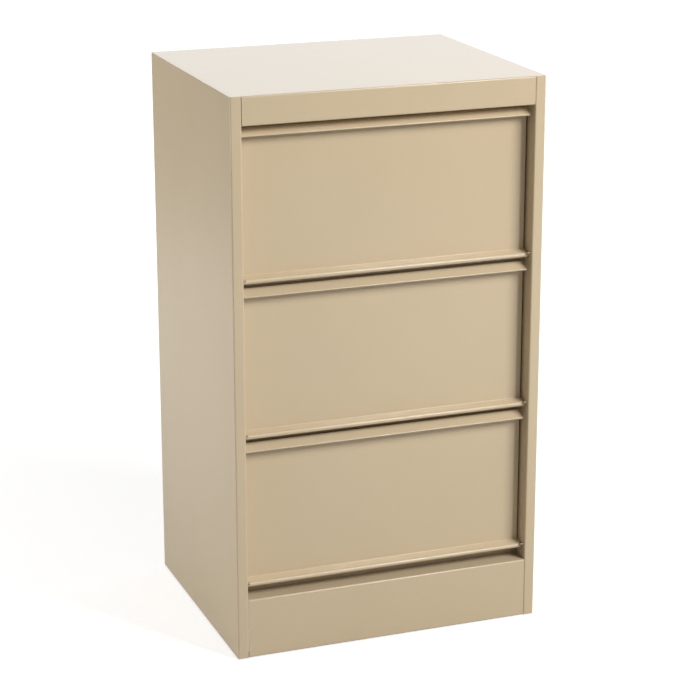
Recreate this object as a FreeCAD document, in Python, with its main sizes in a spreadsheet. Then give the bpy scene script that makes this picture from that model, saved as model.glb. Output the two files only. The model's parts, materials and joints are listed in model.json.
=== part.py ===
import FreeCAD, Part
import os
import Sketcher

# A steel cabinet with three drop-front flaps. Millimetres, +Z up, the front looks along -Y, and the
# origin is on the floor under the middle of the cabinet.

SIZES = {
    # Overall
    "width": 415,
    "depth": 340,
    "height": 730,
    # Carcass sheet
    "sheet": 1.0,
    "bend": 2.0,               # outside radius of a fold
    "seam": 0.2,               # gap left at a welded butt joint
    "corner_round": 0.7,       # dressed edge round the top plate
    # Side panels
    "upright_face": 14.5,      # width of the front face folded from the side panel
    "rear_flange": 18,
    "base_plate_edge": 22,     # inner edge of the base plate to the outside of the side panel
    # Header, plinth and rails
    "header_height": 36.5,
    "top_weld_flange": 14,
    "rail_flange": 12,
    "plinth_height": 81,
    "plinth_return": 9,
    "plinth_foot": 16,
    "rear_rail_flange": 15,
    # Shelves and floor
    "shelf_lip": 25,           # front edge turned down
    "shelf_flange": 15,        # side and rear edges turned down
    "floor_setback": 30,       # front of the floor panel behind the front face
    # Flap stack
    "stack_foot": 15,          # foot of the stack of flaps above the plinth
    "bottom_lift": 2.5,        # bottom hinge axis above the foot of the stack
    "hinge_rise": 3,           # hinge axis above the shelf or floor behind it
    "flap_gap": 10.5,          # top of a flap to the hinge axis above it
    "top_gap": 5,              # top flap to header
    "hinge_setback": 10.5,     # hinge axis behind the front face
    "flap_recess": 21,         # flap panel behind the front face
    "flap_side_gap": 2.5,      # flap end to upright
    # Flap sheet
    "flap_sheet": 1.0,
    "flap_bend": 2.0,
    "ledge_slope": 14,         # degrees
    "lip_slope": 36,           # degrees
    "lip_reach": 13.5,         # front of the lip ahead of the panel
    "hem_width": 6,
    "hem_flat": 0.2,           # flat left between the two rounds of the hem's edge
    "flap_flange": 10,         # depth of the side flanges
    "flange_rise": 14,         # foot of the side flanges above the hinge axis
    "flange_clearance": 3,     # top of the side flanges under the lip of the shelf above
    "barrel_bead": 0.3,        # the barrel stands this much proud of the ledge
    # Hinge rods and bushes
    "rod_radius": 2.0,
    "rod_clearance": 0.05,
    "rod_reach": 4.0,          # rod end beyond the upright's inner wall
    "rod_chamfer": 0.5,
    "bush_wall": 1.15,
    "bush_plate": 0.8,
    "bush_rim": 1.0,           # rim of the plate beyond the tail
    "bush_tail": 1.5,          # tail beyond the upright's wall
    "collar_gap": 0.3,         # bush collar to flap end
    "lug_radius": 1.5,
    "lug_rise": 3.2,           # stop lug above the hinge axis
    "lug_overlap": 1.5,        # lug past the flap end
    "lug_arm": 2.4,            # width of the arm between collar and lug
    "stop_gap": 0.12,          # lug to the ledge of a level flap
    "fit_gap": 0.05,           # pegs and stems in their holes
    # Buffers
    "buffer_radius": 5,
    "buffer_height": 3.2,
    "buffer_gap": 0.3,         # buffer to the back of a shut flap
    "buffer_round": 1.0,
    "buffer_stem_radius": 2,
    "buffer_stem": 3,
    "buffer_inset": 40.5,      # buffer to the end of the flap
    "buffer_rise": 9,          # buffer above the foot of the lip that carries it
    # Glides
    "glide_rise": 1.5,         # bottom edge of the steel above the floor
    "glide_radius": 8.5,
    "glide_round": 0.6,
    "glide_stem_radius": 3,
    "glide_stem": 5,
    "glide_inset": 12,
    "glide_setback": 45,
}

LEVELS = ("bottom", "middle", "top")
SIDES = {"left": -1, "right": 1}
TOUCH = 1e-4                   # an edge this near to a place runs through it

doc = FreeCAD.newDocument("flap_cabinet")
sheet = doc.addObject("Spreadsheet::Sheet", "Sizes")
for row, (alias, size) in enumerate(SIZES.items(), 1):
    sheet.set("A%d" % row, alias)
    sheet.set("B%d" % row, str(size))
    sheet.setAlias("B%d" % row, alias)
doc.recompute()

# Places that several pieces share, as expressions of the sizes

FRONT = "(-Sizes.depth / 2)"
BACK = "(Sizes.depth / 2)"
INSIDE = "(Sizes.width / 2 - Sizes.sheet)"
BAY = "(Sizes.width / 2 - Sizes.upright_face)"
FILL = f"({BAY} - Sizes.seam)"
TRAY = f"({INSIDE} - Sizes.seam)"
INNER_BEND = "(Sizes.bend - Sizes.sheet)"
PLATE_UNDER = "(Sizes.height - Sizes.sheet)"
HEADER_FOOT = "(Sizes.height - Sizes.header_height)"
BACK_INNER = f"({BACK} - 2 * Sizes.sheet)"
SHELF_SETBACK = "(Sizes.flap_recess + Sizes.flap_sheet + Sizes.buffer_gap + Sizes.buffer_height)"
SHELF_FRONT = f"({FRONT} + {SHELF_SETBACK})"
SHELF_BACK = f"({BACK_INNER} - Sizes.seam)"
FLOOR_FRONT = f"({FRONT} + Sizes.floor_setback)"
RETURN_BACK = f"({SHELF_FRONT} - Sizes.seam)"
STACK = f"({HEADER_FOOT} - Sizes.plinth_height - Sizes.stack_foot - Sizes.top_gap)"
FLAP_HEIGHT = f"(({STACK} - {len(LEVELS) - 1} * Sizes.flap_gap) / {len(LEVELS)})"
PITCH = f"({FLAP_HEIGHT} + Sizes.flap_gap)"
HINGE_DEPTH = f"({FRONT} + Sizes.hinge_setback)"
FLAP_HALF = f"({BAY} - Sizes.flap_side_gap)"
BUFFER_ASIDE = f"({FLAP_HALF} - Sizes.buffer_inset)"
BORE = "(Sizes.rod_radius + Sizes.rod_clearance)"
BARREL = f"({BORE} + Sizes.flap_sheet)"
TAIL_RADIUS = f"({BORE} + Sizes.bush_wall)"
LEDGE_TOP = f"({BARREL} - Sizes.barrel_bead)"
LEDGE_SINE = "sin(Sizes.ledge_slope * 1 deg)"
LEDGE_COSINE = "cos(Sizes.ledge_slope * 1 deg)"
LUG_AHEAD = (f"(({LEDGE_TOP} + Sizes.lug_radius + Sizes.stop_gap + Sizes.lug_rise * {LEDGE_SINE})"
             f" / {LEDGE_COSINE})")


def hinge_of(level):
    """Height of a flap's hinge axis, counted from the bottom flap as 0."""
    foot = f"Sizes.plinth_height + Sizes.stack_foot + {level} * {PITCH}"
    return f"({foot})" if level else f"({foot} + Sizes.bottom_lift)"


def floor_of(level):
    """Height of the shelf or floor behind a flap's hinge."""
    return f"({hinge_of(level)} - Sizes.hinge_rise)"


def lip_foot_of(level):
    """Foot of the lip that stands behind the top of a flap."""
    return f"({floor_of(level + 1)} - Sizes.shelf_lip)"


def buffers_of(level):
    """Height of the buffers behind the top of a flap."""
    return f"({lip_foot_of(level)} + Sizes.buffer_rise)"


def value(expression):
    """The number that an expression of the sizes gives."""
    return float(sheet.evalExpression(expression))


def new_body(label, x="0", y="0", z="0"):
    """An empty body, whose own origin stands at the given place."""
    body = doc.addObject("PartDesign::Body", label)
    body.Label = label
    for axis, place in zip("xyz", (x, y, z)):
        body.setExpression(f"Placement.Base.{axis}", place)
    return body


def new_sketch(body, name, role, offset):
    """An empty sketch on one of the body's origin planes, moved along the plane's normal."""
    sketch = body.newObject("Sketcher::SketchObject", f"{body.Name}_{name}")
    plane = next(item for item in body.Origin.OriginFeatures if item.Role == role)
    sketch.AttachmentSupport = [(plane, "")]
    sketch.MapMode = "FlatFace"
    sketch.setExpression("AttachmentOffset.Base.z", offset)
    return sketch


def hold(sketch, kind, places, size):
    """One size of a sketch, bound to its expression."""
    number = sketch.addConstraint(Sketcher.Constraint(kind, *places, value(size)))
    sketch.setExpression(f"Constraints[{number}]", size)


def outline(body, name, role, offset, *loops):
    """A sketch of closed loops of straight sides, with two sizes at each corner."""
    sketch = new_sketch(body, name, role, offset)
    for corners in loops:
        first = sketch.GeometryCount
        points = [FreeCAD.Vector(value(across), value(up), 0) for across, up in corners]
        for start, end in zip(points, points[1:] + points[:1]):
            sketch.addGeometry(Part.LineSegment(start, end))
        for side, (across, up) in enumerate(corners):
            following = first + (side + 1) % len(corners)
            sketch.addConstraint(Sketcher.Constraint("Coincident", first + side, 2, following, 1))
            hold(sketch, "DistanceX", (-1, 1, first + side, 1), across)
            hold(sketch, "DistanceY", (-1, 1, first + side, 1), up)
    return sketch


def rectangle(left, right, bottom, top):
    return [(left, bottom), (right, bottom), (right, top), (left, top)]


def circles(body, name, role, offset, radius, places):
    """A sketch of equal circles."""
    sketch = new_sketch(body, name, role, offset)
    for across, up in places:
        centre = FreeCAD.Vector(value(across), value(up), 0)
        circle = sketch.addGeometry(Part.Circle(centre, FreeCAD.Vector(0, 0, 1), value(radius)))
        hold(sketch, "DistanceX", (-1, 1, circle, 3), across)
        hold(sketch, "DistanceY", (-1, 1, circle, 3), up)
        hold(sketch, "Radius", (circle,), radius)
    return sketch


def extrude(kind, body, sketch, length, symmetric=False, backwards=False):
    """A Pad or Pocket of a sketch, which has to add or take away material."""
    before = body.Shape.Volume if body.Tip else 0
    feature = body.newObject(f"PartDesign::{kind}", f"{sketch.Name}_{kind.lower()}")
    feature.Profile = sketch
    feature.SideType = "Symmetric" if symmetric else "One side"
    feature.Reversed = backwards
    feature.setExpression("Length", length)
    doc.recompute()
    grown = body.Shape.Volume - before
    if (grown <= 0) == (kind == "Pad"):
        raise ValueError(f"{feature.Name} changed nothing")


def pad(body, sketch, length, **settings):
    extrude("Pad", body, sketch, length, **settings)


def pocket(body, sketch, length, **settings):
    extrude("Pocket", body, sketch, length, **settings)


def revolve(body, sketch, axis):
    """A full turn of a sketch about one of its own axes."""
    feature = body.newObject("PartDesign::Revolution", f"{sketch.Name}_revolution")
    feature.Profile = sketch
    feature.ReferenceAxis = (sketch, [axis])
    feature.Angle = 360
    doc.recompute()


def edges_along(shape, axis, places):
    """Names of the straight edges that run along an axis, 0 to 2, through places in the other two."""
    others = [number for number in range(3) if number != axis]
    wanted = [(value(first), value(second)) for first, second in places]
    names = []
    for number, edge in enumerate(shape.Edges, 1):
        if not isinstance(edge.Curve, Part.Line) or abs(abs(edge.Curve.Direction[axis]) - 1) > TOUCH:
            continue
        middle = edge.CenterOfMass
        spot = [middle[other] for other in others]
        if any(abs(spot[0] - u) < TOUCH and abs(spot[1] - v) < TOUCH for u, v in wanted):
            names.append(f"Edge{number}")
    return names


def rims(shape, axis, place):
    """Names of the round edges whose middle lies at a place along an axis, 0 to 2."""
    return [f"Edge{number}" for number, edge in enumerate(shape.Edges, 1)
            if isinstance(edge.Curve, Part.Circle)
            and abs(edge.CenterOfMass[axis] - value(place)) < TOUCH]


def round_edges(body, name, radius, edges, kind="Fillet"):
    """A Fillet, or a Chamfer, on named edges of the body so far."""
    base = body.Tip
    feature = body.newObject(f"PartDesign::{kind}", f"{body.Name}_{name}")
    feature.Base = (base, edges)
    feature.setExpression("Radius" if kind == "Fillet" else "Size", radius)
    doc.recompute()


def fold(body, name, radius, axis, places):
    """Rounds a sheet's folds: the edges along an axis through the given places."""
    round_edges(body, name, radius, edges_along(body.Tip.Shape, axis, places))


# Side panels


def aside(side, inset):
    """A place across the cabinet, measured inwards from the outside of one of its sides."""
    return f"({side} * (Sizes.width / 2 - {inset}))"


def side_panel(label, side):
    """One sheet: the upright's face and its return in front, the side, and a rear flange."""
    face, inner_face = aside(side, "Sizes.upright_face"), aside(side, "(Sizes.upright_face - Sizes.sheet)")
    outer, inner = aside(side, "0"), aside(side, "Sizes.sheet")
    front_inner, back_inner = f"({FRONT} + Sizes.sheet)", f"({BACK} - Sizes.sheet)"
    rear = aside(side, "Sizes.rear_flange")
    body = new_body(label)
    section = outline(body, "section", "XY_Plane", "Sizes.glide_rise", [
        (outer, FRONT), (face, FRONT), (face, RETURN_BACK), (inner_face, RETURN_BACK),
        (inner_face, front_inner), (inner, front_inner), (inner, back_inner), (rear, back_inner),
        (rear, BACK), (outer, BACK)])
    pad(body, section, f"{PLATE_UNDER} - Sizes.glide_rise")
    fold(body, "outer_folds", "Sizes.bend", 2, [(outer, FRONT), (face, FRONT), (outer, BACK)])
    fold(body, "inner_folds", INNER_BEND, 2,
         [(inner_face, front_inner), (inner, front_inner), (inner, back_inner)])

    bush_holes = circles(
        body, "bush_holes", "YZ_Plane", face, f"{TAIL_RADIUS} + Sizes.fit_gap",
        [(HINGE_DEPTH, hinge_of(level)) for level in range(len(LEVELS))])
    pocket(body, bush_holes, "Sizes.sheet", backwards=side > 0)
    lug_holes = circles(
        body, "lug_holes", "YZ_Plane", face, "Sizes.lug_radius + Sizes.fit_gap",
        [(f"({HINGE_DEPTH} - {LUG_AHEAD})", f"({hinge_of(level)} + Sizes.lug_rise)")
         for level in range(len(LEVELS))])
    pocket(body, lug_holes, "Sizes.sheet", backwards=side > 0)
    return body


def base_plate(label, side):
    """A strip welded inside the foot of a side panel, with a hole for the stem of each glide."""
    body = new_body(label)
    strip = outline(body, "strip", "XY_Plane", "Sizes.glide_rise", rectangle(
        aside(side, "(Sizes.sheet + Sizes.seam)"), aside(side, "Sizes.base_plate_edge"),
        f"({SHELF_FRONT} + Sizes.seam)", f"({BACK_INNER} - Sizes.seam)"))
    pad(body, strip, "Sizes.sheet")
    holes = circles(
        body, "glide_holes", "XY_Plane", "Sizes.glide_rise + Sizes.sheet",
        "Sizes.glide_stem_radius + Sizes.fit_gap",
        [(aside(side, "Sizes.glide_inset"), f"({FRONT} + Sizes.glide_setback)"),
         (aside(side, "Sizes.glide_inset"), f"({BACK} - Sizes.glide_setback)")])
    pocket(body, holes, "Sizes.sheet")
    return body


# Top, header and stop rail


def top_panel():
    """A plate over both sides, with the header folded down in front of it between the uprights."""
    body = new_body("top_panel")
    header_inner = f"({FRONT} + Sizes.sheet)"
    return_back = f"({SHELF_FRONT} + Sizes.rail_flange)"
    foot_inner = f"({HEADER_FOOT} + Sizes.sheet)"
    header = outline(body, "header", "YZ_Plane", "0", [
        (FRONT, "Sizes.height"), (FRONT, HEADER_FOOT), (return_back, HEADER_FOOT),
        (return_back, foot_inner), (header_inner, foot_inner), (header_inner, PLATE_UNDER),
        (return_back, PLATE_UNDER), (return_back, "Sizes.height")])
    pad(body, header, f"2 * {FILL}", symmetric=True)
    fold(body, "header_folds", "Sizes.bend", 0, [(FRONT, "Sizes.height"), (FRONT, HEADER_FOOT)])
    fold(body, "header_inner_folds", INNER_BEND, 0,
         [(header_inner, foot_inner), (header_inner, PLATE_UNDER)])

    half = "(Sizes.width / 2)"
    notch_back = f"({FRONT} + Sizes.bend)"
    plate = outline(body, "plate", "XY_Plane", "Sizes.height", [
        (f"-{half}", FRONT), (f"-{FILL}", FRONT), (f"-{FILL}", notch_back), (FILL, notch_back),
        (FILL, FRONT), (half, FRONT), (half, BACK), (f"-{half}", BACK)])
    pad(body, plate, "Sizes.sheet", backwards=True)
    corners = [(f"{side} * {half}", place) for side in SIDES.values() for place in (FRONT, BACK)]
    fold(body, "plate_corners", "Sizes.bend", 2, corners)
    sides = edges_along(body.Tip.Shape, 1, [(f"-{half}", "Sizes.height"), (half, "Sizes.height")])
    rear = edges_along(body.Tip.Shape, 0, [(BACK, "Sizes.height")])
    round_edges(body, "plate_edges", "Sizes.corner_round", sides + rear)

    weld_foot = f"({PLATE_UNDER} - Sizes.top_weld_flange)"
    inner_face = f"({TRAY} - Sizes.sheet)"
    flange_front, flange_back = f"({return_back} + Sizes.seam)", f"({SHELF_BACK} - Sizes.seam)"
    flanges = outline(
        body, "weld_flanges", "XY_Plane", weld_foot,
        rectangle(inner_face, TRAY, flange_front, flange_back),
        rectangle(f"-{TRAY}", f"-{inner_face}", flange_front, flange_back))
    pad(body, flanges, f"{PLATE_UNDER} - {weld_foot} + Sizes.sheet / 2")
    return body


def top_stop_rail():
    """An angle under the header's return. The top flap shuts against its buffers."""
    body = new_body("top_stop_rail")
    lip_foot = lip_foot_of(len(LEVELS) - 1)
    inner = f"({SHELF_FRONT} + Sizes.sheet)"
    top_inner = f"({HEADER_FOOT} - Sizes.sheet)"
    flange_back = f"({SHELF_FRONT} + Sizes.rail_flange)"
    section = outline(body, "section", "YZ_Plane", "0", [
        (SHELF_FRONT, lip_foot), (inner, lip_foot), (inner, top_inner), (flange_back, top_inner),
        (flange_back, HEADER_FOOT), (SHELF_FRONT, HEADER_FOOT)])
    pad(body, section, f"2 * {TRAY}", symmetric=True)
    fold(body, "outer_fold", "Sizes.bend", 0, [(SHELF_FRONT, HEADER_FOOT)])
    fold(body, "inner_fold", INNER_BEND, 0, [(inner, top_inner)])
    buffer_holes(body, len(LEVELS) - 1)
    return body


# Shelves, floor, back and base


def buffer_holes(body, level):
    """Two stem holes through the lip that stands behind the top of a flap."""
    holes = circles(
        body, "buffer_holes", "XZ_Plane", f"-{SHELF_FRONT}", "Sizes.buffer_stem_radius + Sizes.fit_gap",
        [(f"({side} * {BUFFER_ASIDE})", buffers_of(level)) for side in SIDES.values()])
    pocket(body, holes, "Sizes.sheet")


def tray(label, level, front):
    """A plate behind the uprights, with its front lip and its side and rear flanges turned down."""
    body = new_body(label)
    top = floor_of(level)
    plate = outline(body, "plate", "XY_Plane", top, rectangle(f"-{TRAY}", TRAY, front, SHELF_BACK))
    pad(body, plate, "Sizes.sheet", backwards=True)
    lip = outline(body, "lip", "XY_Plane", top, rectangle(
        f"-{TRAY}", TRAY, front, f"({front} + Sizes.sheet)"))
    pad(body, lip, "Sizes.shelf_lip", backwards=True)
    fold(body, "front_fold", "Sizes.bend", 0, [(front, top)])
    inner, rear_inner = f"({TRAY} - Sizes.sheet)", f"({SHELF_BACK} - Sizes.sheet)"
    flange_front = f"({front} + Sizes.bend)"
    flanges = outline(body, "flanges", "XY_Plane", top, [
        (f"-{TRAY}", flange_front), (f"-{inner}", flange_front), (f"-{inner}", rear_inner),
        (inner, rear_inner), (inner, flange_front), (TRAY, flange_front), (TRAY, SHELF_BACK),
        (f"-{TRAY}", SHELF_BACK)])
    pad(body, flanges, "Sizes.shelf_flange", backwards=True)
    return body


def shelf(label, level):
    """A tray whose lip carries the buffers of the flap below it."""
    body = tray(label, level, SHELF_FRONT)
    buffer_holes(body, level - 1)
    return body


def floor_panel():
    """The tray of the bottom compartment, set back behind the plinth's ledge."""
    return tray("floor_panel", 0, FLOOR_FRONT)


def back_panel():
    """A flat sheet inside the rear flanges."""
    body = new_body("back_panel")
    half = f"({INSIDE} - Sizes.bend)"
    foot = "(Sizes.glide_rise + Sizes.sheet + Sizes.seam)"
    sheet_outline = outline(body, "sheet", "XZ_Plane", f"-{BACK_INNER}", rectangle(
        f"-{half}", half, foot, f"({PLATE_UNDER} - Sizes.seam)"))
    pad(body, sheet_outline, "Sizes.sheet", backwards=True)
    return body


def plinth_panel():
    """The kick plate between the uprights, with a ledge folded back to meet the lip of the floor panel."""
    body = new_body("plinth_panel")
    inner, ledge_back = f"({FRONT} + Sizes.sheet)", f"({FLOOR_FRONT} - Sizes.seam)"
    ledge_inner = f"({ledge_back} - Sizes.sheet)"
    return_foot = "(Sizes.plinth_height - Sizes.plinth_return)"
    under = "(Sizes.plinth_height - Sizes.sheet)"
    foot_inner = "(Sizes.glide_rise + Sizes.sheet)"
    foot_back = f"({FRONT} + Sizes.plinth_foot)"
    section = outline(body, "section", "YZ_Plane", "0", [
        (FRONT, "Sizes.glide_rise"), (FRONT, "Sizes.plinth_height"), (ledge_back, "Sizes.plinth_height"),
        (ledge_back, return_foot), (ledge_inner, return_foot), (ledge_inner, under), (inner, under),
        (inner, foot_inner), (foot_back, foot_inner), (foot_back, "Sizes.glide_rise")])
    pad(body, section, f"2 * {FILL}", symmetric=True)
    fold(body, "outer_folds", "Sizes.bend", 0, [
        (FRONT, "Sizes.glide_rise"), (FRONT, "Sizes.plinth_height"), (ledge_back, "Sizes.plinth_height")])
    fold(body, "inner_folds", INNER_BEND, 0, [
        (ledge_inner, under), (inner, under), (inner, foot_inner)])
    return body


def rear_base_rail():
    """A channel across the foot of the back panel, which closes the base frame."""
    body = new_body("rear_base_rail")
    web_front = f"({SHELF_BACK} - Sizes.sheet)"
    flange_front = f"({SHELF_BACK} - Sizes.rear_rail_flange)"
    foot = "(Sizes.glide_rise + Sizes.sheet + Sizes.seam)"
    top = f"({floor_of(0)} - Sizes.shelf_flange - Sizes.seam)"
    foot_inner, top_inner = f"({foot} + Sizes.sheet)", f"({top} - Sizes.sheet)"
    section = outline(body, "section", "YZ_Plane", "0", [
        (SHELF_BACK, foot), (SHELF_BACK, top), (flange_front, top), (flange_front, top_inner),
        (web_front, top_inner), (web_front, foot_inner), (flange_front, foot_inner),
        (flange_front, foot)])
    pad(body, section, f"2 * {TRAY}", symmetric=True)
    fold(body, "outer_folds", "Sizes.bend", 0, [(SHELF_BACK, foot), (SHELF_BACK, top)])
    fold(body, "inner_folds", INNER_BEND, 0, [(web_front, foot_inner), (web_front, top_inner)])
    return body


# Flaps, each drawn about its own hinge axis


def flap_panel(label, level):
    """One sheet: rolled barrel, ledge, panel, and a lip folded forward with its free edge hemmed under."""
    body = new_body(label, y=HINGE_DEPTH, z=hinge_of(level))
    thick = "Sizes.flap_sheet"
    lip_sine, lip_cosine = "sin(Sizes.lip_slope * 1 deg)", "cos(Sizes.lip_slope * 1 deg)"
    lip_tangent = "tan(Sizes.lip_slope * 1 deg)"
    fold_inner = "(Sizes.flap_bend - Sizes.flap_sheet)"
    face = "(Sizes.flap_recess - Sizes.hinge_setback)"
    rear = f"({face} + {thick})"
    # The sharp corner over the lip's round fold, whose top is the top of the flap
    corner_tangent = "tan((90 - Sizes.lip_slope) / 2 * 1 deg)"
    top = f"({hinge_of(level + 1)} - Sizes.flap_gap - {hinge_of(level)})"
    peak = f"({top} + Sizes.flap_bend / {corner_tangent} - Sizes.flap_bend)"
    tip = f"({face} - Sizes.lip_reach)"
    tip_height = f"({peak} - ({rear} - {tip}) * {lip_tangent})"
    tip_under = f"({tip} + 2 * {thick} * {lip_sine})"
    tip_under_height = f"({tip_height} - 2 * {thick} * {lip_cosine})"
    hem_back = f"({tip_under} + Sizes.hem_width * {lip_cosine})"
    hem_height = f"({tip_under_height} + Sizes.hem_width * {lip_sine})"
    step_back = f"({hem_back} - {thick} * {lip_sine})"
    step_height = f"({hem_height} + {thick} * {lip_cosine})"
    lip_root = f"({peak} - {thick} * {lip_tangent} - {thick} / {lip_cosine})"
    ledge_under = f"({LEDGE_TOP} - {thick})"
    ledge_root = f"(({LEDGE_TOP} + {face} * {LEDGE_SINE}) / {LEDGE_COSINE})"
    heel = f"(({ledge_under} + {rear} * {LEDGE_SINE}) / {LEDGE_COSINE})"
    section = outline(body, "section", "YZ_Plane", "0", [
        (f"(-{LEDGE_TOP} * {LEDGE_SINE})", f"({LEDGE_TOP} * {LEDGE_COSINE})"), (face, ledge_root),
        (face, lip_root), (step_back, step_height), (hem_back, hem_height),
        (tip_under, tip_under_height), (tip, tip_height), (rear, peak), (rear, heel),
        (f"(-{ledge_under} * {LEDGE_SINE})", f"({ledge_under} * {LEDGE_COSINE})")])
    pad(body, section, f"2 * {FLAP_HALF}", symmetric=True)
    fold(body, "outer_folds", "Sizes.flap_bend", 0, [(rear, peak), (rear, heel)])
    fold(body, "inner_folds", fold_inner, 0, [(face, ledge_root), (face, lip_root)])
    fold(body, "hem_edge", f"{thick} - Sizes.hem_flat / 2", 0,
         [(tip, tip_height), (tip_under, tip_under_height)])

    flange_inner = f"({FLAP_HALF} - {thick})"
    flange_back = f"({face} + Sizes.flap_flange)"
    flange_top = f"({lip_foot_of(level)} - Sizes.flange_clearance - {hinge_of(level)})"
    flanges = outline(
        body, "side_flanges", "XY_Plane", "Sizes.flange_rise",
        rectangle(flange_inner, FLAP_HALF, face, flange_back),
        rectangle(f"-{FLAP_HALF}", f"-{flange_inner}", face, flange_back))
    pad(body, flanges, f"{flange_top} - Sizes.flange_rise")

    barrel = circles(body, "barrel", "YZ_Plane", "0", BARREL, [("0", "0")])
    pad(body, barrel, f"2 * {FLAP_HALF}", symmetric=True)
    bore = circles(body, "bore", "YZ_Plane", "0", BORE, [("0", "0")])
    pocket(body, bore, f"2 * {BAY}", symmetric=True)
    return body


def hinge_rod(label, level):
    """A round rod, held in the barrel, whose ends turn in the bushes."""
    body = new_body(label, y=HINGE_DEPTH, z=hinge_of(level))
    half = f"({BAY} + Sizes.rod_reach)"
    section = circles(body, "section", "YZ_Plane", "0", "Sizes.rod_radius", [("0", "0")])
    pad(body, section, f"2 * {half}", symmetric=True)
    ends = rims(body.Tip.Shape, 0, half) + rims(body.Tip.Shape, 0, f"-{half}")
    round_edges(body, "ends", "Sizes.rod_chamfer", ends, kind="Chamfer")
    return body


def pivot_bush(label, level, side):
    """A plated bush in the upright's wall, with a collar beside the flap and an arm to its stop lug."""
    body = new_body(label, x=f"{side} * {BAY}", y=HINGE_DEPTH, z=hinge_of(level))

    def inward(length):
        return f"({-side} * {length})"

    collar = inward("(Sizes.flap_side_gap - Sizes.collar_gap)")
    plate = inward("Sizes.bush_plate")
    tail_length = "(Sizes.sheet + Sizes.bush_tail)"
    tail = inward(f"(-{tail_length})")
    rim = f"({TAIL_RADIUS} + Sizes.bush_rim)"
    section = outline(body, "section", "XY_Plane", "0", [
        (collar, BORE), (collar, BARREL), (plate, BARREL), (plate, rim), ("0", rim),
        ("0", TAIL_RADIUS), (tail, TAIL_RADIUS), (tail, BORE)])
    revolve(body, section, "H_Axis")

    lug = circles(body, "lug", "YZ_Plane", tail, "Sizes.lug_radius",
                  [(f"(-{LUG_AHEAD})", "Sizes.lug_rise")])
    pad(body, lug, f"{tail_length} + Sizes.flap_side_gap + Sizes.lug_overlap", backwards=side > 0)
    span = f"sqrt({LUG_AHEAD} ^ 2 + Sizes.lug_rise ^ 2)"
    aside = f"(Sizes.lug_arm / 2 * Sizes.lug_rise / {span})"
    above = f"(Sizes.lug_arm / 2 * {LUG_AHEAD} / {span})"
    start = f"({TAIL_RADIUS} / {span})"
    arm = outline(body, "arm", "YZ_Plane", "0", [
        (f"(-{LUG_AHEAD} * {start} - {aside})", f"(Sizes.lug_rise * {start} - {above})"),
        (f"(-{LUG_AHEAD} - {aside})", f"(Sizes.lug_rise - {above})"),
        (f"(-{LUG_AHEAD} + {aside})", f"(Sizes.lug_rise + {above})"),
        (f"(-{LUG_AHEAD} * {start} + {aside})", f"(Sizes.lug_rise * {start} + {above})")])
    pad(body, arm, "Sizes.bush_plate", backwards=side > 0)
    return body


# Small parts


def buffer(label, level, side):
    """A rubber button on the lip above a flap, pushed in by its stem."""
    body = new_body(label, x=f"{side} * {BUFFER_ASIDE}", y=SHELF_FRONT, z=buffers_of(level))
    stem_end = "(Sizes.sheet + Sizes.buffer_stem)"
    section = outline(body, "section", "XY_Plane", "0", [
        ("0", "-Sizes.buffer_height"), ("Sizes.buffer_radius", "-Sizes.buffer_height"),
        ("Sizes.buffer_radius", "0"), ("Sizes.buffer_stem_radius", "0"),
        ("Sizes.buffer_stem_radius", stem_end), ("0", stem_end)])
    revolve(body, section, "V_Axis")
    round_edges(body, "rim", "Sizes.buffer_round", rims(body.Tip.Shape, 1, "-Sizes.buffer_height"))
    return body


def glide(label, side, depth):
    """A plastic foot, pushed into the base plate by its stem."""
    body = new_body(label, x=aside(side, "Sizes.glide_inset"), y=depth)
    stem_end = "(Sizes.glide_rise + Sizes.sheet + Sizes.glide_stem)"
    section = outline(body, "section", "XZ_Plane", "0", [
        ("0", "0"), ("Sizes.glide_radius", "0"), ("Sizes.glide_radius", "Sizes.glide_rise"),
        ("Sizes.glide_stem_radius", "Sizes.glide_rise"), ("Sizes.glide_stem_radius", stem_end),
        ("0", stem_end)])
    revolve(body, section, "V_Axis")
    round_edges(body, "rim", "Sizes.glide_round", rims(body.Tip.Shape, 2, "0"))
    return body


pieces = [top_panel(), top_stop_rail(), back_panel(), plinth_panel(), rear_base_rail(), floor_panel(),
          shelf("lower_shelf", 1), shelf("upper_shelf", 2)]
for hand, side in SIDES.items():
    pieces.append(side_panel(f"{hand}_side_panel", side))
    pieces.append(base_plate(f"{hand}_base_plate", side))
    pieces.append(glide(f"front_{hand}_glide", side, f"{FRONT} + Sizes.glide_setback"))
    pieces.append(glide(f"rear_{hand}_glide", side, f"{BACK} - Sizes.glide_setback"))
for level, name in enumerate(LEVELS):
    pieces.append(flap_panel(f"{name}_flap_panel", level))
    pieces.append(hinge_rod(f"{name}_hinge_rod", level))
    for hand, side in SIDES.items():
        pieces.append(pivot_bush(f"{name}_{hand}_bush", level, side))
        pieces.append(buffer(f"{name}_{hand}_buffer", level, side))

doc.recompute()
for item in doc.Objects:
    if "Invalid" in item.State or "Error" in item.State:
        raise ValueError(f"{item.Label} failed: {item.State}")
for piece in pieces:
    if piece.Shape.isNull() or not piece.Shape.isValid() or len(piece.Shape.Solids) != 1:
        raise ValueError(f"{piece.Label} isn't one valid solid")

os.makedirs("parts", exist_ok=True)
for piece in pieces:
    piece.Shape.exportStep(f"parts/{piece.Label}.step")
    box = piece.Shape.optimalBoundingBox(False)
    print(f"{piece.Label}: {box.XLength:.1f} x {box.YLength:.1f} x {box.ZLength:.1f} mm")
print(f"{len(pieces)} pieces, upper flaps {value(FLAP_HEIGHT):.1f} mm high, {value(PITCH):.1f} mm apart")
print("hinge axes at", [round(value(hinge_of(level)), 1) for level in range(len(LEVELS))], "mm")
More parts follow.
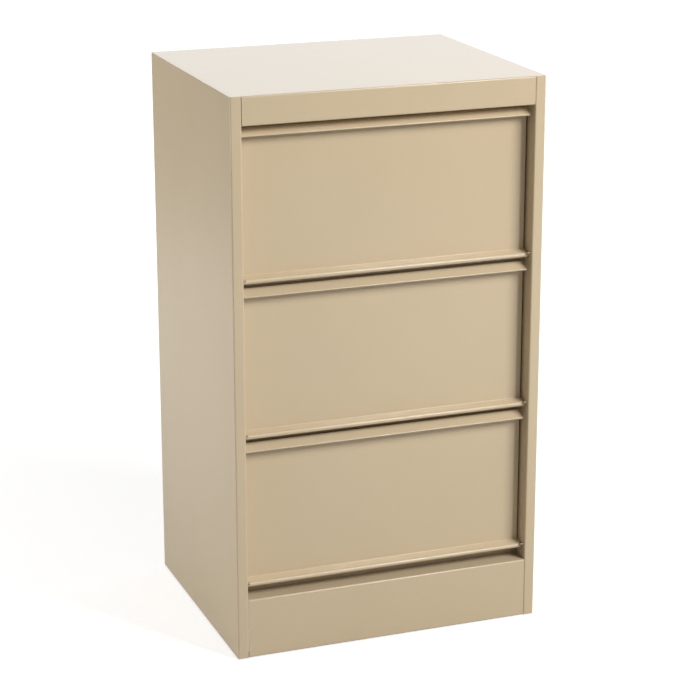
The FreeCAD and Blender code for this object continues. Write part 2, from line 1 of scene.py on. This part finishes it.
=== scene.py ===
# %% [markdown]
# A painted steel cabinet with three drop-front flaps, one above the other.
# Such a cabinet is bent from sheet about a millimetre thick, spot-welded and powder-coated, so nearly
# all of its shape is folds. The folds are already in the construction model, with their bend radius,
# so this lesson keeps those pieces and spends its effort on finish, light and the marks of making.

# %% Load the cabinet
import json
import math

import bmesh
import bpy
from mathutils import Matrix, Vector


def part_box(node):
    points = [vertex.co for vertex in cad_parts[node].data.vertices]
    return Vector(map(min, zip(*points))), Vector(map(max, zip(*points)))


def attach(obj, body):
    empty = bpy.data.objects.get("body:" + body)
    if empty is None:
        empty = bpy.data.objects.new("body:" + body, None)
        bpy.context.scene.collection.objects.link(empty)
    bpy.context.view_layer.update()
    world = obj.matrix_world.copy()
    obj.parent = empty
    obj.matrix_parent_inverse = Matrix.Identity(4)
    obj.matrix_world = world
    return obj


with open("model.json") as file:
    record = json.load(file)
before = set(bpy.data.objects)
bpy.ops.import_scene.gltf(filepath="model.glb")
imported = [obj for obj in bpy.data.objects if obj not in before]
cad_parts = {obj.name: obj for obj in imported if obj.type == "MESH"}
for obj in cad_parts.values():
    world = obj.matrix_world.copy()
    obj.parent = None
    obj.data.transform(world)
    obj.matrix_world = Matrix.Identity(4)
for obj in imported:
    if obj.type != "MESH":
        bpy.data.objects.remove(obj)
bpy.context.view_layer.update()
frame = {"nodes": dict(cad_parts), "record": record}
nodes = frame["nodes"]
MM = 0.001

# %% [markdown]
# The camera comes first, because every later choice is judged through it.
# The cabinet is seen from its front left and from a little above, through a long lens. The place
# below was worked out from the corners of the cabinet, so that they fall close to where the picture
# has them. A lens is chosen by its focal length, which is worked out here from pixels.

# %% Place the camera
IMAGE_PIXELS = 700
FOCAL_PIXELS = 2260
SENSOR_WIDTH = 36
CAMERA_PLACE = Vector((-1.0085, -2.6988, 1.2364))
CAMERA_DIP = math.radians(17.2)
CAMERA_SWING = math.radians(-20.66)

lens = bpy.data.cameras.new("camera")
lens.sensor_width = SENSOR_WIDTH
lens.lens = SENSOR_WIDTH * FOCAL_PIXELS / IMAGE_PIXELS
camera = bpy.data.objects.new("camera", lens)
camera.location = CAMERA_PLACE
camera.rotation_euler = (math.pi / 2 - CAMERA_DIP, 0, CAMERA_SWING)
bpy.context.scene.collection.objects.link(camera)
bpy.context.scene.camera = camera
print(f"camera: {lens.lens:.0f} mm lens, {CAMERA_PLACE.length:.2f} m from the foot of the cabinet")

# %% [markdown]
# Three small helpers serve every material. Colours are written the way a paint chart gives them, as
# sRGB hex values, and turned to the linear values that shaders add up. Nodes are added by one
# function, which sets a node's options and fills its sockets with numbers or with other nodes. Each
# material starts empty, so that every node in it is one that was chosen.

# %% Helpers for materials


def linear(code):
    """The linear colour of an sRGB hex value such as #CDBB98."""
    shares = [int(code[place:place + 2], 16) / 255 for place in (1, 3, 5)]
    return [share / 12.92 if share <= 0.04045 else ((share + 0.055) / 1.055) ** 2.4
            for share in shares] + [1]


def add(tree, kind, sockets=None, **options):
    """Adds a node with its options, and fills its sockets with values or with links."""
    node = tree.nodes.new(kind)
    for option, setting in options.items():
        setattr(node, option, setting)
    for socket, source in (sockets or {}).items():
        if isinstance(source, bpy.types.NodeSocket):
            tree.links.new(source, node.inputs[socket])
        else:
            node.inputs[socket].default_value = source
    return node


def new_material(name):
    """An empty material and its node tree."""
    material = bpy.data.materials.new(name)
    material.use_nodes = True
    material.node_tree.nodes.clear()
    return material, material.node_tree


print("grey #808080 is", round(linear("#808080")[0], 3), "in linear light")

# %% [markdown]
# The cabinet stands on a plain white floor that runs out of the picture on every side.
# A studio gets that white by lighting the paper more than the product. Here the paper adds light of
# its own for the camera, more of it further out, so the lamps can stay at a plain level and the
# cabinet keeps its soft shadow. Glossy paint mirrors the floor too, and reflections are given a painted
# reflection there instead: a dim pool of glow round the cabinet that fades away, as lit paper would,
# with painted shade in it near the cabinet's foot.

# %% Lay the floor
FLOOR_REACH = 12
PAPER_WHITE = "#C9C9C8"
PAPER_ROUGHNESS = 0.9
PAPER_SPECULAR = 0.1
# Lifts are strengths, of which 1 is white. Edges are metres from the middle of the cabinet's foot.
LIFT_NEAR, LIFT_FAR = 0.66, 1.0
NEAR_EDGE, FAR_EDGE = 0.5, 2.2
# The pool is a painted reflection, a glow that only reflections see, dimmed at the foot as painted
# shade.
FOOT_SHADE_LIFT, PAINTED_POOL_LIFT = 0.1, 0.25
FOOT_SHADE_START, FOOT_SHADE_END = 0.1, 1.0
PAINTED_POOL_EDGE, PAINTED_POOL_END = 1.6, 3.0


def ray_kinds(tree):
    """Whether the camera sees a surface directly or through glass, and whether a reflection sees it."""
    ray = add(tree, "ShaderNodeLightPath")
    direct = add(tree, "ShaderNodeMath", operation="MAXIMUM", sockets={
        0: ray.outputs["Is Camera Ray"], 1: ray.outputs["Is Transmission Ray"]})
    return direct.outputs[0], ray.outputs["Is Glossy Ray"]


def white_paper():
    """Dull paper that reads as pure white, with only a soft shadow on it, and a painted reflection that
    only reflections see.
    """
    material, tree = new_material("white_paper")
    direct, mirrored = ray_kinds(tree)
    place = add(tree, "ShaderNodeTexCoord").outputs["Object"]
    distance = add(tree, "ShaderNodeVectorMath", {0: place}, operation="LENGTH").outputs["Value"]
    lift = add(tree, "ShaderNodeMapRange", interpolation_type="SMOOTHSTEP", sockets={
        "Value": distance, "From Min": NEAR_EDGE, "From Max": FAR_EDGE,
        "To Min": LIFT_NEAR, "To Max": LIFT_FAR})
    # Painted reflection: glow for reflections only, dimmer near the cabinet's foot as painted shade and
    # fading out past the pool's edge.
    painted_foot_shade = add(tree, "ShaderNodeMapRange", interpolation_type="SMOOTHSTEP", sockets={
        "Value": distance, "From Min": FOOT_SHADE_START, "From Max": FOOT_SHADE_END,
        "To Min": FOOT_SHADE_LIFT, "To Max": PAINTED_POOL_LIFT})
    painted_pool = add(tree, "ShaderNodeMapRange", interpolation_type="SMOOTHSTEP", sockets={
        "Value": distance, "From Min": PAINTED_POOL_EDGE, "From Max": PAINTED_POOL_END,
        "To Min": painted_foot_shade.outputs[0], "To Max": 0})
    shown = add(tree, "ShaderNodeMath", {0: lift.outputs[0], 1: direct}, operation="MULTIPLY")
    glow = add(tree, "ShaderNodeMath", operation="MULTIPLY_ADD", sockets={
        0: painted_pool.outputs[0], 1: mirrored, 2: shown.outputs[0]})
    shader = add(tree, "ShaderNodeBsdfPrincipled", {
        "Base Color": linear(PAPER_WHITE), "Roughness": PAPER_ROUGHNESS,
        "Specular IOR Level": PAPER_SPECULAR,
        "Emission Color": linear("#FFFFFF"), "Emission Strength": glow.outputs[0]})
    add(tree, "ShaderNodeOutputMaterial", {"Surface": shader.outputs[0]})
    return material


shape = bmesh.new()
bmesh.ops.create_grid(shape, x_segments=1, y_segments=1, size=FLOOR_REACH)
floor_mesh = bpy.data.meshes.new("floor")
shape.to_mesh(floor_mesh)
shape.free()
floor_mesh.materials.append(white_paper())
floor = bpy.data.objects.new("floor", floor_mesh)
bpy.context.scene.collection.objects.link(floor)
print("floor:", 2 * FLOOR_REACH, "m square")

# %% [markdown]
# Folded sheet metal is read by its shadows: a crisp dark line beside each flap and a soft one under
# each grip lip. A strip softbox, narrow and tall, hangs high at the front right. It is a small source
# across, so upright edges throw crisp shadows, and a long one upwards, so level edges throw soft ones.
# A wider box beside it softens both. It is kept out of reflections, because the top would mirror it
# as plain white to anyone behind the cabinet. One at the left lifts the side, and one far behind shows
# in the top as a pale sheen, because paint mirrors more at a low angle. A low one behind lights the
# back, which a picture from the front never shows.

# %% Hang the lights
AIM = Vector((0, 0, 0.4))
STRIP_LIGHT = 32.5
BOX_LIGHT = 19.3
REAR_LIGHT = 0.57
LEFT_LIGHT = 7.6
BACK_LIGHT = 7.0


def softbox(name, place, width, height, radiance, glare=True):
    """A rectangular lamp that looks at the cabinet, which mirrors it only if it may give glare."""
    lamp = bpy.data.lights.new(name, "AREA")
    lamp.shape = "RECTANGLE"
    lamp.size = width
    lamp.size_y = height
    lamp.energy = radiance * math.pi * width * height
    box = bpy.data.objects.new(name, lamp)
    box.location = place
    box.rotation_euler = (AIM - Vector(place)).to_track_quat("-Z", "Y").to_euler()
    box.visible_glossy = glare
    bpy.context.scene.collection.objects.link(box)
    return box


lamps = [
    softbox("strip_softbox", place=(1.16, -2.25, 2.32), width=0.25, height=1.45, radiance=STRIP_LIGHT),
    softbox("wide_softbox", place=(1.75, -2.0, 1.9), width=0.9, height=0.9, radiance=BOX_LIGHT,
            glare=False),
    softbox("rear_softbox", place=(0.9, 2.6, 1.5), width=3.2, height=1.4, radiance=REAR_LIGHT),
    softbox("left_softbox", place=(-1.9, 0.5, 0.65), width=1.0, height=0.9, radiance=LEFT_LIGHT),
    softbox("back_softbox", place=(2.6, 1.7, 0.5), width=1.4, height=0.9, radiance=BACK_LIGHT),
]
print("lamps:", [lamp.name for lamp in lamps])

# %% [markdown]
# The room behind the paper is white too. A white room that lit the cabinet as strongly as it looks
# would wash out the shadows that show the folds. So it is full white only to the camera and in
# reflections, and gives every other surface a weak, even light that keeps the gaps from going black.

# %% Light the room
ROOM_LIGHT = 0.2

world = bpy.data.worlds.new("white_room")
world.use_nodes = True
world.node_tree.nodes.clear()
tree = world.node_tree
direct, mirrored = ray_kinds(tree)
seen = add(tree, "ShaderNodeMath", {0: direct, 1: mirrored}, operation="MAXIMUM")
strength = add(tree, "ShaderNodeMapRange", {
    "Value": seen.outputs[0], "To Min": ROOM_LIGHT, "To Max": 1})
room = add(tree, "ShaderNodeBackground", {
    "Color": linear("#FFFFFF"), "Strength": strength.outputs[0]})
add(tree, "ShaderNodeOutputWorld", {"Surface": room.outputs[0]})
bpy.context.scene.world = world
bpy.context.scene.view_settings.view_transform = "Standard"
print("room light:", ROOM_LIGHT)

# %% [markdown]
# Powder coat is a plastic film baked onto the steel. It flows as it melts, so it is smooth and
# semi-gloss, with a faint orange peel a few millimetres across, and its colour drifts a little where
# the film is thicker. A flat colour would look like plastic, so all three are drawn, very gently.

# %% Powder-coated steel
SAND_BEIGE = "#CDBA9B"
SAND_THIN = "#C9B697"
FILM_DRIFT = 120 * MM
ORANGE_PEEL = 3 * MM
PEEL_DEPTH = 0.01 * MM
COAT_ROUGHNESS = 0.15, 0.2
COAT_IOR = 1.5
# A Mix node has sockets for several kinds of value. These are its two colours and their mixture.
FIRST_COLOUR, SECOND_COLOUR, MIXED_COLOUR = 6, 7, 2


def powder_coated_steel():
    """Smooth baked paint: sharp bright lines along the folds and soft broad shine on the flats."""
    material, tree = new_material("powder_coated_steel")
    place = add(tree, "ShaderNodeTexCoord").outputs["Object"]
    drift = add(tree, "ShaderNodeTexNoise", {"Vector": place, "Scale": 1 / FILM_DRIFT, "Detail": 3})
    colour = add(tree, "ShaderNodeMix", data_type="RGBA", sockets={
        "Factor": drift.outputs[0], FIRST_COLOUR: linear(SAND_THIN), SECOND_COLOUR: linear(SAND_BEIGE)})
    gloss = add(tree, "ShaderNodeMapRange", {
        "Value": drift.outputs[0], "To Min": COAT_ROUGHNESS[0], "To Max": COAT_ROUGHNESS[1]})
    peel = add(tree, "ShaderNodeTexNoise", {"Vector": place, "Scale": 1 / ORANGE_PEEL, "Detail": 1})
    skin = add(tree, "ShaderNodeBump", {
        "Height": peel.outputs[0], "Strength": 1, "Distance": PEEL_DEPTH})
    shader = add(tree, "ShaderNodeBsdfPrincipled", {
        "Base Color": colour.outputs[MIXED_COLOUR], "Roughness": gloss.outputs[0], "IOR": COAT_IOR,
        "Normal": skin.outputs[0]})
    add(tree, "ShaderNodeOutputMaterial", {"Surface": shader.outputs[0]})
    return material


coat = powder_coated_steel()
print("made:", coat.name)

# %% [markdown]
# Each flap turns on a rod of bright drawn steel. The rod was pulled through a die, which leaves long
# fine lines. They are far finer than a pixel, so they are drawn coarser here, and only they make the
# roughness change round the rod.

# %% Drawn steel
DRAWN_GREY = "#BFC0C2"
LINE_WIDTH = 0.3 * MM
LINE_LENGTH = 20 * MM
DRAWN_ROUGHNESS = 0.16, 0.36


def drawn_steel():
    """Bare metal, drawn through a die: mirror bright along the rod, streaked across it."""
    material, tree = new_material("drawn_steel")
    place = add(tree, "ShaderNodeTexCoord").outputs["Object"]
    along = add(tree, "ShaderNodeMapping", {
        "Vector": place, "Scale": (1 / LINE_LENGTH, 1 / LINE_WIDTH, 1 / LINE_WIDTH)})
    lines = add(tree, "ShaderNodeTexNoise", {"Vector": along.outputs[0], "Scale": 1, "Detail": 2})
    streak = add(tree, "ShaderNodeMapRange", {
        "Value": lines.outputs[0], "To Min": DRAWN_ROUGHNESS[0], "To Max": DRAWN_ROUGHNESS[1]})
    shader = add(tree, "ShaderNodeBsdfPrincipled", {
        "Base Color": linear(DRAWN_GREY), "Metallic": 1, "Roughness": streak.outputs[0]})
    add(tree, "ShaderNodeOutputMaterial", {"Surface": shader.outputs[0]})
    return material


steel = drawn_steel()
print("made:", steel.name)

# %% [markdown]
# The bushes are steel with a zinc plating. Zinc grows in small grains, each of which shines a little
# differently, and the passivation that keeps it from rusting leaves it grey in some places and straw
# in others. A cell pattern gives the grains, and a soft noise gives the tint.

# %% Zinc plating
ZINC_GREY = "#A8A294"
ZINC_STRAW = "#A8997A"
ZINC_GRAIN = 0.5 * MM
TINT_PATCH = 3 * MM
ZINC_ROUGHNESS = 0.55, 0.7


def zinc_plating():
    """Plated metal with a fine grain: small glints, soft at their edges and a little warm."""
    material, tree = new_material("zinc_plating")
    place = add(tree, "ShaderNodeTexCoord").outputs["Object"]
    patch = add(tree, "ShaderNodeTexNoise", {"Vector": place, "Scale": 1 / TINT_PATCH, "Detail": 2})
    tint = add(tree, "ShaderNodeMix", data_type="RGBA", sockets={
        "Factor": patch.outputs[0], FIRST_COLOUR: linear(ZINC_GREY), SECOND_COLOUR: linear(ZINC_STRAW)})
    grain = add(tree, "ShaderNodeTexVoronoi", {"Vector": place, "Scale": 1 / ZINC_GRAIN})
    shine = add(tree, "ShaderNodeMapRange", {
        "Value": grain.outputs["Distance"], "To Min": ZINC_ROUGHNESS[0], "To Max": ZINC_ROUGHNESS[1]})
    shader = add(tree, "ShaderNodeBsdfPrincipled", {
        "Base Color": tint.outputs[MIXED_COLOUR], "Metallic": 1, "Roughness": shine.outputs[0]})
    add(tree, "ShaderNodeOutputMaterial", {"Surface": shader.outputs[0]})
    return material


zinc = zinc_plating()
print("made:", zinc.name)

# %% [markdown]
# The buffers and the glides are both black mouldings, but they answer light differently. Rubber is
# dull, and wax that works its way out leaves a grey bloom on it. The plastic of a glide keeps the
# fine, even pitting of its spark-cut mould and shines a little.

# %% Moulded rubber and plastic
RUBBER_BLACK = "#1D1D1E"
RUBBER_BLOOM = "#33322F"
RUBBER_ROUGHNESS = 0.7, 0.9
PLASTIC_BLACK = "#1B1C1D"
PLASTIC_WORN = "#28292A"
PLASTIC_ROUGHNESS = 0.38, 0.5
BLOOM_PATCH = 4 * MM
MOULD_PIT = 0.4 * MM
PIT_DEPTH = 0.02 * MM


def black_moulding(name, black, worn, roughness):
    """A black moulded part: two near blacks in soft patches over a finely pitted skin."""
    material, tree = new_material(name)
    place = add(tree, "ShaderNodeTexCoord").outputs["Object"]
    patch = add(tree, "ShaderNodeTexNoise", {"Vector": place, "Scale": 1 / BLOOM_PATCH, "Detail": 3})
    colour = add(tree, "ShaderNodeMix", data_type="RGBA", sockets={
        "Factor": patch.outputs[0], FIRST_COLOUR: linear(black), SECOND_COLOUR: linear(worn)})
    dull = add(tree, "ShaderNodeMapRange", {
        "Value": patch.outputs[0], "To Min": roughness[0], "To Max": roughness[1]})
    pits = add(tree, "ShaderNodeTexNoise", {"Vector": place, "Scale": 1 / MOULD_PIT, "Detail": 1})
    skin = add(tree, "ShaderNodeBump", {
        "Height": pits.outputs[0], "Strength": 1, "Distance": PIT_DEPTH})
    shader = add(tree, "ShaderNodeBsdfPrincipled", {
        "Base Color": colour.outputs[MIXED_COLOUR], "Roughness": dull.outputs[0],
        "Normal": skin.outputs[0]})
    add(tree, "ShaderNodeOutputMaterial", {"Surface": shader.outputs[0]})
    return material


rubber = black_moulding("moulded_rubber", RUBBER_BLACK, RUBBER_BLOOM, RUBBER_ROUGHNESS)
plastic = black_moulding("moulded_plastic", PLASTIC_BLACK, PLASTIC_WORN, PLASTIC_ROUGHNESS)
print("made:", rubber.name, plastic.name)

# %% [markdown]
# The record says which finish every piece has, so one loop can dress them all. The shapes of the
# folded pieces are right as they come, and only their finish is set.

# %% Dress the pieces
finishes = {"painted_sheet": coat, "rod_steel": steel, "bush_zinc": zinc,
            "buffer_rubber": rubber, "glide_plastic": plastic}
for subpart in frame["record"]["subparts"]:
    mesh = nodes[subpart["node"]].data
    mesh.materials.clear()
    mesh.materials.append(finishes[subpart["material_slot"]])

# %% [markdown]
# Behind the back sheet lie the turned-down flanges of the shelves and the floor and the web of the
# base rail. On such a cabinet the sheet is spot-welded to each of them, and every weld leaves the
# print of the electrode: a shallow dish with a raised rim, softened by the paint. A print is a turned
# shape, so its half section is spun about the electrode's axis, and each row repeats it.

# %% Spot welds in the back
WELD_RADIUS = 4.5 * MM
WELD_RIM = 0.35 * MM
WELD_DISH = 0.05 * MM
WELD_SUNK = 0.05 * MM
RIM_OUTER, RIM_INNER, DISH_EDGE = 0.82, 0.72, 0.5
MERGE_REACH = WELD_SUNK / 10
WELD_STEPS = 20
WELD_SPACING = 60 * MM
FLANGE_MIDDLE = 7.5 * MM


def weld_print():
    """One electrode print in a bmesh, standing out along +Y from the origin.

    Its half section is a list of shares of the radius, each with a height above the sheet."""
    shape = bmesh.new()
    section = [(0, -WELD_SUNK), (1, -WELD_SUNK), (1, 0), (RIM_OUTER, WELD_RIM), (RIM_INNER, WELD_RIM),
               (DISH_EDGE, WELD_DISH), (0, WELD_DISH)]
    points = [shape.verts.new((share * WELD_RADIUS, height, 0)) for share, height in section]
    edges = [shape.edges.new(pair) for pair in zip(points, points[1:])]
    bmesh.ops.spin(shape, geom=points + edges, cent=(0, 0, 0), axis=(0, 1, 0),
                   angle=2 * math.pi, steps=WELD_STEPS, use_merge=True)
    bmesh.ops.remove_doubles(shape, verts=shape.verts, dist=MERGE_REACH)
    bmesh.ops.recalc_face_normals(shape, faces=shape.faces)
    return shape


def weld_row(name, height):
    """A row of prints across the back sheet at one height."""
    low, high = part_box("back_panel")
    count = int((high[0] - low[0]) / WELD_SPACING)
    row = bmesh.new()
    printed = bpy.data.meshes.new(name)
    for number in range(count):
        shape = weld_print()
        aside = (number - (count - 1) / 2) * WELD_SPACING
        bmesh.ops.translate(shape, verts=shape.verts, vec=(aside, high[1], height))
        shape.to_mesh(printed)
        shape.free()
        row.from_mesh(printed)
    for face in row.faces:
        face.smooth = True
    row.to_mesh(printed)
    row.free()
    printed.materials.append(coat)
    piece = bpy.data.objects.new(name, printed)
    bpy.context.scene.collection.objects.link(piece)
    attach(piece, "carcass")


trays = ("floor_panel", "lower_shelf", "upper_shelf")
heights = {tray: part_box(tray)[1][2] - FLANGE_MIDDLE for tray in trays}
rail_low, rail_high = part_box("rear_base_rail")
heights["rear_base_rail"] = (rail_low[2] + rail_high[2]) / 2
for backing, height in heights.items():
    weld_row(f"{backing}_welds", height)
print("weld rows at mm:", [round(height / MM, 1) for height in heights.values()])
